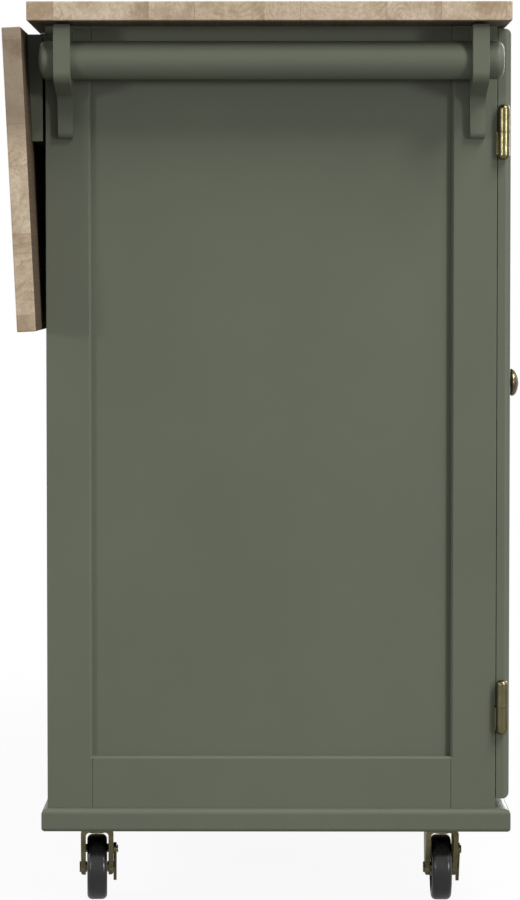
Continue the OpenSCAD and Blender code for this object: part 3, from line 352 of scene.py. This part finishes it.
def cracks(tree, where, offset, up, own, throws):
    """Thin dark cracks along the spokes of the rings, in a few staves only."""
    lean = maths(tree, "MULTIPLY_ADD", throws["Green"], 2.4, -1.2)
    slanted = maths(tree, "MULTIPLY_ADD", up, lean, offset)
    slow = noise(tree, scaled(tree, where, (3, 90, 90)), 1.0, 2)
    wander = maths(tree, "MULTIPLY_ADD", slow, 0.008, -0.004)
    chosen = maths(tree, "MULTIPLY_ADD", throws["Blue"], 0.04, -0.02)
    off = maths(tree, "SUBTRACT", maths(tree, "ADD", slanted, wander), chosen)
    thin = between(tree, maths(tree, "ABSOLUTE", off), 0.0010, 0.0002)
    return times(tree, thin, between(tree, noise(tree, own, 1.7, 1), 0.52, 0.60))


def glue_lines(tree, inside, length_at):
    """The lines between staves and between the pieces of one stave."""
    side_line = between(tree, maths(tree, "ABSOLUTE", inside), 0.488, 0.497)
    from_middle = maths(tree, "SUBTRACT", maths(tree, "FRACT", length_at), 0.5)
    end_line = between(tree, maths(tree, "ABSOLUTE", from_middle), 0.4985, 0.4995)
    return maths(tree, "MAXIMUM", side_line, end_line)


print(rings_per_metre, "rings to the metre")

# %% [markdown]
# The colours go on as a joiner would meet them: the timber with its rings, the patches, mottle,
# fibres and pores of the stain, the cracks, a painted shade on the undersides, and the glue
# lines last. The leaf is the same wood. It hangs turned by its hinge, so its coordinates
# are turned back, and moved on so that it isn't cut from the same place as the worktop. Its
# ends are greyer next to the hinge.

# %% The wood
# The height band where painted shade darkens the undersides
underside_shade_top, underside_shade_bottom = 0.8957, 0.8951


def washed_wood(name, turn=(0, 0, 0), shift=(0, 0, 0), underside_shade_strength=0.75, grey_to=None):
    """The wood of one slab; grey_to is how far across it the grey of its ends reaches."""
    material, tree, shader = new_finish(name)
    where = place(tree, turn=turn, shift=shift)
    axes = add(tree, "SeparateXYZ", {"Vector": where}).outputs
    along, across, up = axes["X"], axes["Y"], axes["Z"]
    inside, length_at, dice = staves(tree, along, across)
    throws = add(tree, "SeparateColor", {"Color": dice}).outputs
    offset = times(tree, inside, stave_width)
    moved = add(tree, "VectorMath", operation="ADD")
    put(tree, moved.inputs[0], scaled(tree, where, (2.2, 26, 26)))
    put(tree, moved.inputs[1], scaled(tree, dice, (30, 30, 30)))
    own = moved.outputs[0]

    late = growth_rings(tree, offset, up, own, throws)
    pale = mixed(tree, throws["Blue"], srgb(214, 197, 172), srgb(194, 176, 150))
    deep = mixed(tree, throws["Red"], srgb(180, 158, 130), srgb(164, 141, 113))
    tone = mixed(tree, times(tree, late, 0.75), pale, deep)

    # Patches, mottle, fibres and pores, drawn out along the stave
    patch = between(tree, noise(tree, own, 0.9, 4, 0.62), 0.46, 0.66)
    blotch = noise(tree, scaled(tree, where, (12, 190, 190)), 1.0, 3, 0.65)
    mottle = between(tree, blotch, 0.35, 0.7)
    fibre = noise(tree, scaled(tree, where, (9, 420, 420)), 1.0, 4, 0.6)
    prick = noise(tree, scaled(tree, where, (45, 1100, 1100)), 1.0, 2)
    pore = between(tree, prick, 0.62, 0.74)
    tone = mixed(tree, times(tree, patch, 0.66), tone, srgb(146, 120, 92))
    tone = mixed(tree, times(tree, mottle, 0.38), tone, srgb(140, 117, 92))
    tone = mixed(tree, between(tree, fibre, 0.45, 0.75, 0, 0.36), tone, srgb(132, 111, 88))
    tone = mixed(tree, times(tree, pore, 0.45), tone, srgb(106, 87, 68))

    if grey_to is not None:
        ragged = maths(tree, "MULTIPLY_ADD", patch, 0.02, across)
        near_hinge = between(tree, ragged, grey_to, grey_to - 0.035)
        from_middle = maths(tree, "ABSOLUTE", maths(tree, "SUBTRACT", along, shift[0]))
        at_end = between(tree, from_middle, worktop_high[0] - 0.0025, worktop_high[0] - 0.0005)
        greyed = times(tree, times(tree, near_hinge, at_end), 0.85)
        grey = mixed(tree, patch, srgb(137, 122, 104), srgb(116, 100, 82))
        tone = mixed(tree, greyed, tone, grey)

    crack = cracks(tree, where, offset, up, own, throws)
    tone = mixed(tree, times(tree, crack, 0.7), tone, srgb(96, 72, 48))
    # Painted shade: the undersides darken, standing in for the shade under the worktop and leaf.
    painted_underside_shade = between(tree, up, underside_shade_top, underside_shade_bottom)
    tone = mixed(tree, times(tree, painted_underside_shade, underside_shade_strength), tone, srgb(70, 56, 40))
    line = glue_lines(tree, inside, length_at)
    tone = mixed(tree, times(tree, line, 0.35), tone, srgb(118, 98, 76))

    put(tree, shader.inputs["Base Color"], tone)
    put(tree, shader.inputs["Roughness"], between(tree, fibre, 0.3, 0.7, 0.52, 0.68))
    shader.inputs["Specular IOR Level"].default_value = 0.3
    hollow = maths(tree, "ADD", maths(tree, "ADD", pore, line), crack)
    relief = maths(tree, "SUBTRACT", times(tree, fibre, 0.5), hollow)
    rounded(tree, shader, 0.0010, relief, 0.00012)
    return material


slab_wood = washed_wood("washed_wood")
leaf_turn = math.radians(92.756)
leaf_shift = (0.35, 1.144, 0.6898)
# The leaf's underside takes more painted shade, for the dark gap between it and the cabinet.
leaf_wood = washed_wood("washed_wood_leaf", turn=(leaf_turn, 0, 0), shift=leaf_shift,
                        underside_shade_strength=0.92, grey_to=worktop_high[1] + 0.13)
print("made", slab_wood.name, "and", leaf_wood.name)

# %% [markdown]
# ## Other finishes
#
# The brass of the knobs, hinges and casters is polished and lacquered over a brown patina. Its
# colour is made dark as a painted reflection of dark surroundings, so it is bright where a lamp
# mirrors in it and olive elsewhere. Its gloss hardly varies, because
# a lamp that mirrors in a thin barrel would break up into specks. The runners and the leaf's
# hinges are zinc plated steel, with the spangle of the bath. The wheels are hard glossy rubber.
# The shelves and the drawer boxes are birch ply. In each, one noise mixes two near colours and
# another moves the roughness a little, as on real surfaces no two places shine quite alike.

# %% Brass and zinc
def tint(tree, shader, share, first, second):
    """Mixes the finish's colour from two screen colours."""
    put(tree, shader.inputs["Base Color"], mixed(tree, share, srgb(*first), srgb(*second)))


def roughen(tree, shader, value, low, high):
    """Lets a noise move the roughness between low and high."""
    put(tree, shader.inputs["Roughness"], between(tree, value, 0.3, 0.7, low, high))


def antique_brass():
    material, tree, shader = new_finish("antique_brass")
    where = place(tree)
    shader.inputs["Metallic"].default_value = 1
    patina_and_painted_reflection = between(tree, noise(tree, where, 60, 4, 0.6), 0.35, 0.7)
    # Both colours are far darker than brass: painted reflection of dark surroundings, mottled.
    tint(tree, shader, patina_and_painted_reflection, (114, 108, 82), (86, 80, 54))
    roughen(tree, shader, noise(tree, where, 60, 3), 0.23, 0.25)
    rounded(tree, shader, 0.0004)
    return material


def zinc_steel():
    material, tree, shader = new_finish("zinc_steel")
    where = place(tree)
    shader.inputs["Metallic"].default_value = 1
    spangle = add(tree, "TexVoronoi", {"Vector": where, "Scale": 260}).outputs["Color"]
    grey = add(tree, "SeparateColor", {"Color": spangle}).outputs["Red"]
    tint(tree, shader, grey, (168, 170, 172), (192, 194, 196))
    roughen(tree, shader, noise(tree, where, 120, 3), 0.30, 0.45)
    rounded(tree, shader, 0.0004, noise(tree, where, 800, 2), 0.00001)
    return material


brass, zinc = antique_brass(), zinc_steel()
print("made", brass.name, "and", zinc.name)

# %% Rubber, plastic and birch
def black_tread():
    material, tree, shader = new_finish("black_tread")
    where = place(tree)
    dust = between(tree, noise(tree, where, 120, 4, 0.6), 0.5, 0.8, 0, 0.3)
    tint(tree, shader, dust, (26, 26, 27), (56, 54, 52))
    roughen(tree, shader, noise(tree, where, 200, 3), 0.20, 0.32)
    rounded(tree, shader, 0.0006, noise(tree, where, 1100, 2), 0.00002)
    return material


def catch_plastic():
    material, tree, shader = new_finish("catch_plastic")
    where = place(tree)
    tint(tree, shader, noise(tree, where, 150, 3), (52, 50, 48), (66, 64, 61))
    roughen(tree, shader, noise(tree, where, 400, 2), 0.45, 0.6)
    rounded(tree, shader, 0.0006, noise(tree, where, 2200, 2), 0.00003)
    return material


def birch_ply():
    material, tree, shader = new_finish("birch_ply")
    long_grain = noise(tree, place(tree, scale=(40, 3, 3)), 1.0, 5, 0.6)
    flame = between(tree, noise(tree, place(tree, scale=(9, 1.2, 1.2)), 1.0, 3), 0.4, 0.65)
    tone = mixed(tree, flame, srgb(214, 190, 152), srgb(198, 170, 130))
    tone = mixed(tree, between(tree, long_grain, 0.5, 0.75, 0, 0.45), tone, srgb(176, 146, 108))
    put(tree, shader.inputs["Base Color"], tone)
    roughen(tree, shader, long_grain, 0.42, 0.55)
    rounded(tree, shader, 0.0006, long_grain, 0.00004)
    return material


finishes = {
    "green_paint": paint, "washed_wood": slab_wood, "antique_brass": brass, "zinc_steel": zinc,
    "black_tread": black_tread(), "catch_plastic": catch_plastic(), "birch_ply": birch_ply(),
}
print("finishes:", ", ".join(finishes))

# %% Give every solid piece its finish
def dress(piece, material):
    """Puts one material on the whole of a piece."""
    piece.data.materials.clear()
    piece.data.materials.append(material)


for name, piece in nodes.items():
    dress(piece, finishes[slot_of[name]])
for name in ("drop_leaf", "leaf_rest_cleats"):
    dress(nodes[name], leaf_wood)
print("dressed", len(nodes), "pieces")

# %% [markdown]
# ## Screws
#
# What holds a cabinet together is small, and it is seen as soon as a door or a drawer opens. One
# screw head is made once: a ring and a cross, joined by triangles, with the cross pushed down and
# the ring drawn out and down into a rounded rim. Every screw of the island is then a copy of it,
# laid on its plate with its own turn, because nobody drives two screws to the same angle. All the
# screws of one group are one piece, which rides on the body that they are driven into.

# %% One screw head
def verts_of(made):
    """The vertices among what an operator made."""
    return [item for item in made if isinstance(item, bmesh.types.BMVert)]


def edges_of(made):
    """The edges among what an operator made."""
    return [item for item in made if isinstance(item, bmesh.types.BMEdge)]


def screw_head(radius, height, inset):
    """A cross head screw that stands height above z = 0, with its recess pushed down by inset."""
    head = bmesh.new()
    arm, half = radius * 0.52, radius * 0.11
    corner = [(arm, half), (half, half), (half, arm)]
    cross = []
    for quarter in range(4):
        turn = Matrix.Rotation(quarter * math.pi / 2, 3, "Z")
        cross += [head.verts.new(turn @ Vector((x, y, height))) for x, y in corner]
    cross_edges = [head.edges.new((cross[i - 1], cross[i])) for i in range(len(cross))]
    ring = bmesh.ops.create_circle(head, cap_ends=False, segments=16, radius=radius * 0.8)["verts"]
    bmesh.ops.translate(head, verts=ring, vec=(0, 0, height))
    ring_edges = list({edge for vert in ring for edge in vert.link_edges})
    bmesh.ops.triangle_fill(head, use_beauty=True, edges=cross_edges + ring_edges)

    # The recess: its walls and floor take the second, dark material, as painted shade
    recess = bmesh.ops.extrude_edge_only(head, edges=cross_edges)["geom"]
    bmesh.ops.translate(head, verts=verts_of(recess), vec=(0, 0, -inset))
    bmesh.ops.contextual_create(head, geom=edges_of(recess))
    for face in head.faces:
        face.material_index = int(face.calc_center_median().z < height - inset / 3)

    # The rim: out and down, then straight down, a little way into the plate
    for wide, low in ((1.25, height * 0.45), (1.0, height * 0.9)):
        rim = bmesh.ops.extrude_edge_only(head, edges=ring_edges)["geom"]
        bmesh.ops.scale(head, vec=(wide, wide, 1), verts=verts_of(rim))
        bmesh.ops.translate(head, verts=verts_of(rim), vec=(0, 0, -low))
        ring_edges = edges_of(rim)
    for face in head.faces:
        if len(face.verts) == 4 and face.calc_center_median().xy.length > radius * 0.7:
            face.material_index = 0
    bmesh.ops.recalc_face_normals(head, faces=head.faces[:])
    data = bpy.data.meshes.new("screw_head")
    head.to_mesh(data)
    head.free()
    return data


flat_head = screw_head(0.0026, 0.0002, 0.00015)
pan_head = screw_head(0.0040, 0.0018, 0.0012)
print("a screw head has", len(flat_head.polygons), "faces")

# %% From a bmesh to a piece, and from one head to many screws
def finish_piece(name, work, body, slot, *materials):
    """Makes the piece that a bmesh holds, with its materials, riding on a body."""
    data = bpy.data.meshes.new(name)
    work.to_mesh(data)
    work.free()
    piece = bpy.data.objects.new(name, data)
    bpy.context.scene.collection.objects.link(piece)
    for material in materials:
        data.materials.append(material)
    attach(piece, body)


def screws(name, body, slot, head, places, base=None):
    """One piece of many screws: places are pairs of a point and the way that the head faces."""
    work = bmesh.new()
    for number, (point, facing) in enumerate(places):
        before = len(work.verts)
        work.from_mesh(head)
        work.verts.ensure_lookup_table()
        face_out = Vector(facing).to_track_quat("Z", "Y").to_matrix().to_4x4()
        turn = face_out @ Matrix.Rotation(number * 2.4, 4, "Z")
        move = Matrix.Translation(point) @ turn
        bmesh.ops.transform(work, matrix=(base or Matrix()) @ move, verts=work.verts[before:])
    # The second material, the dark plastic, is painted shade in the recesses of the heads.
    finish_piece(name, work, body, slot, finishes[slot], finishes["catch_plastic"])
    return len(places)


def middle_of(node):
    """The middle of a node's box."""
    low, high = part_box(node)
    return Vector([(a + b) / 2 for a, b in zip(low, high)])


inwards, outwards, downwards = (0, 1, 0), (0, -1, 0), (0, 0, -1)
sides = ((-1, "left"), (1, "right"))
drawers = ("drawer_top", "drawer_middle", "drawer_bottom")
print("screws can be set")

# %% Screws in the hinges, the knobs and the drawers
door_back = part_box("door_left_frame")[1][1]
frame_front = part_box("face_frame")[0][1]
hinge_low, hinge_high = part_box("door_left_hinge_leaves")
hinge_zs = (hinge_high[2] - 0.02765, hinge_low[2] - 0.00015)
hinge_holes = ((0.479, 0.007), (0.466, 0.016))
count = 0
base_places = []
for side, word in sides:
    body = "door_" + word
    places = [((side * x, door_back, z + rise), inwards)
              for z in hinge_zs for x, rise in hinge_holes]
    base_places += [((side * x, frame_front, z - drop), outwards)
                    for z in hinge_zs for x, drop in hinge_holes]
    count += screws(body + "_hinge_screws", body, "antique_brass", flat_head, places)
    knob = middle_of(body + "_knob")
    knob_place = ((knob.x, door_back, knob.z), inwards)
    count += screws(body + "_knob_screw", body, "zinc_steel", pan_head, [knob_place])
count += screws("hinge_base_screws", "root", "antique_brass", flat_head, base_places)
board = 0.012
for body in drawers:
    low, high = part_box(body + "_box")
    inner_face = low[1] + board
    places = [((0, inner_face, middle_of(body + "_knob").z), inwards)]
    rows = (low[2] + 0.035, high[2] - 0.025)
    places += [((side * 0.12, inner_face, z), inwards) for side in (-1, 1) for z in rows]
    count += screws(body + "_screws", body, "zinc_steel", pan_head, places)
print(count, "screws in the doors and drawers")

# %% Screws in the leaf's hinges, drawn with the leaf level and then hung with it
hinge_xs = (-0.370, 0, 0.370)
pivot = middle_of("leaf_hinge_pins")
pivot.x = 0
hung = Matrix.Translation(pivot) @ Matrix.Rotation(-leaf_turn, 4, "X") @ Matrix.Translation(-pivot)
hinge_plate = 0.0012
plate_z = worktop_low[2] - hinge_plate
places = [((x + dx, pivot.y + 0.019, plate_z), downwards)
          for x in hinge_xs for dx in (-0.02, 0, 0.02)]
count = screws("leaf_hinge_leaf_screws", "leaf", "zinc_steel", flat_head, places, base=hung)
places = [((x + dx, pivot.y - 0.0095, plate_z), downwards)
          for x in hinge_xs for dx in (-0.02, 0.02)]
count += screws("leaf_hinge_top_screws", "root", "zinc_steel", flat_head, places)
print(count, "screws in the leaf's hinges")

# %% Screws in the casters' plates, the runners and the catches
low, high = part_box("caster_plates")
half_wide, half_deep, plate_t = 0.027, 0.034, 0.0025
places = [((side * (high[0] - half_wide) + dx, y + dy, high[2] - plate_t), downwards)
          for side in (-1, 1) for y in (low[1] + half_deep, high[1] - half_deep)
          for dx in (-0.020, 0.020) for dy in (-0.027, 0.027)]
count = screws("caster_plate_screws", "root", "zinc_steel", pan_head, places)
runner_t = 0.0012
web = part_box("drawer_runners")[1][0] - runner_t
places = [((side * web, y, middle_of(body + "_slides").z), (-side, 0, 0))
          for body in drawers for side in (-1, 1) for y in (-0.19, -0.02, 0.13)]
count += screws("runner_screws", "root", "zinc_steel", pan_head, places)
catch_low, catch_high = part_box("door_catches")
foot_h = 0.018
foot_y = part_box("face_frame")[1][1] + 0.003
places = [((side * (catch_high[0] - inward), foot_y, catch_high[2] - foot_h / 2), inwards)
          for side in (-1, 1) for inward in (0.009, 0.033)]
count += screws("catch_screws", "root", "zinc_steel", pan_head, places)
print(count, "screws elsewhere")

# %% [markdown]
# ## Where the doors and drawers meet the frame
#
# A magnetic catch shows the edges of two steel plates, with the magnet between them, and they
# grip a thin steel strike on the door. Soft round buffers in the corners keep a front from
# knocking on the frame. The gap behind a front is only 0.7 mm, so the buffers are thinner still.
# Plates start as cubes and get their round corners from a bevel, and a buffer is a low cone.

# %% Strikes and pole plates
def plates(name, body, slot, boxes, corner):
    """Flat plates that face along Y, with round corners."""
    work = bmesh.new()
    for low, high in boxes:
        low, high = Vector(low), Vector(high)
        before = len(work.verts)
        bmesh.ops.create_cube(work, size=1)
        work.verts.ensure_lookup_table()
        to_box = Matrix.Translation((low + high) / 2) @ Matrix.Diagonal((*(high - low), 1))
        bmesh.ops.transform(work, matrix=to_box, verts=work.verts[before:])
    along_y = [edge for edge in work.edges
               if abs((edge.verts[0].co - edge.verts[1].co).normalized().y) > 0.9]
    bmesh.ops.bevel(work, geom=along_y, offset=corner, offset_type="OFFSET", segments=3,
                    profile=0.5, affect="EDGES", material=-1)
    finish_piece(name, work, body, slot, finishes[slot])


catch_zs = (catch_low[2], catch_high[2] - foot_h)
for side, word in sides:
    ends = sorted((side * (catch_high[0] - 0.0395), side * (catch_high[0] - 0.0025)))
    strike = ((ends[0], door_back, catch_zs[0] + 0.0005),
              (ends[1], door_back + 0.00012, catch_zs[1] - 0.0005))
    plates("door_" + word + "_strike", "door_" + word, "zinc_steel", [strike], 0.0015)
poles = []
pole_t = 0.002
pole_front, pole_back = catch_low[1] - 0.0001, catch_low[1] + 0.001
for side in (-1, 1):
    ends = sorted((side * (catch_high[0] - 0.038), side * (catch_high[0] - 0.004)))
    for z in (sum(catch_zs) / 2 - 2 * pole_t, sum(catch_zs) / 2 + pole_t):
        poles.append(((ends[0], pole_front, z), (ends[1], pole_back, z + pole_t)))
plates("catch_poles", "root", "zinc_steel", poles, 0.0003)
print("2 strikes and", len(poles), "pole plates")

# %% Buffers
buffer_in, buffer_t, hinged_from = 0.007, 0.0006, 0.3


def buffers(body, front):
    """Soft round buffers behind the corners of a front, but for those next to its hinges."""
    low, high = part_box(front)
    work = bmesh.new()
    lay = Matrix.Rotation(math.radians(-90), 4, "X")
    for x in (low[0] + buffer_in, high[0] - buffer_in):
        for z in (low[2] + 0.016, high[2] - 0.028):
            if abs(x) < hinged_from:
                move = Matrix.Translation((x, door_back + buffer_t / 2, z))
                bmesh.ops.create_cone(work, cap_ends=True, segments=20, radius1=0.004,
                                      radius2=0.0036, depth=buffer_t, matrix=move @ lay)
    finish_piece(body + "_buffers", work, body, "catch_plastic", finishes["catch_plastic"])


for body in ("door_left", "door_right"):
    buffers(body, body + "_frame")
for body in drawers:
    buffers(body, body + "_front")
print("buffers are on")

# %% [markdown]
# ## Floor
#
# The floor is only a stage. The camera sees it nearly white, and quite white away from the
# island, so that no horizon shows, while the island's shadow is kept. To light that bounces it
# is a mid grey, so that it doesn't brighten the island from below.

# %% The floor
floor_mesh = bmesh.new()
bmesh.ops.create_grid(floor_mesh, x_segments=1, y_segments=1, size=14)
floor_data = bpy.data.meshes.new("floor")
floor_mesh.to_mesh(floor_data)
floor_mesh.free()
floor = bpy.data.objects.new("floor", floor_data)
floor.location.z = -0.0005
bpy.context.scene.collection.objects.link(floor)
print("a floor", round(floor.dimensions.x), "m wide")

# %% Its finish
floor_finish = bpy.data.materials.new("pale_floor")
floor_finish.use_nodes = True
tree = floor_finish.node_tree
tree.nodes.clear()
rays = add(tree, "LightPath").outputs
mirrored = maths(tree, "MULTIPLY", rays["Is Glossy Ray"], 0.38)
watched = maths(tree, "MAXIMUM", rays["Is Camera Ray"], mirrored)
grey = between(tree, watched, 0, 1, 0.22, 0.9)
even = add(tree, "CombineColor", {"Red": grey, "Green": grey, "Blue": grey}).outputs[0]
flat = add(tree, "BsdfDiffuse", {"Color": even})
glow = add(tree, "Emission", {"Color": white, "Strength": 1.0})
distance = add(tree, "VectorMath", operation="LENGTH")
put(tree, distance.inputs[0], place(tree))
share = between(tree, distance.outputs["Value"], 0.7, 1.6, 0.93, 1.0)
blend = add(tree, "MixShader", {"Fac": maths(tree, "MULTIPLY", watched, share)})
put(tree, blend.inputs[1], flat.outputs[0])
put(tree, blend.inputs[2], glow.outputs[0])
add(tree, "OutputMaterial", {"Surface": blend.outputs[0]})
dress(floor, floor_finish)
print("floor laid")
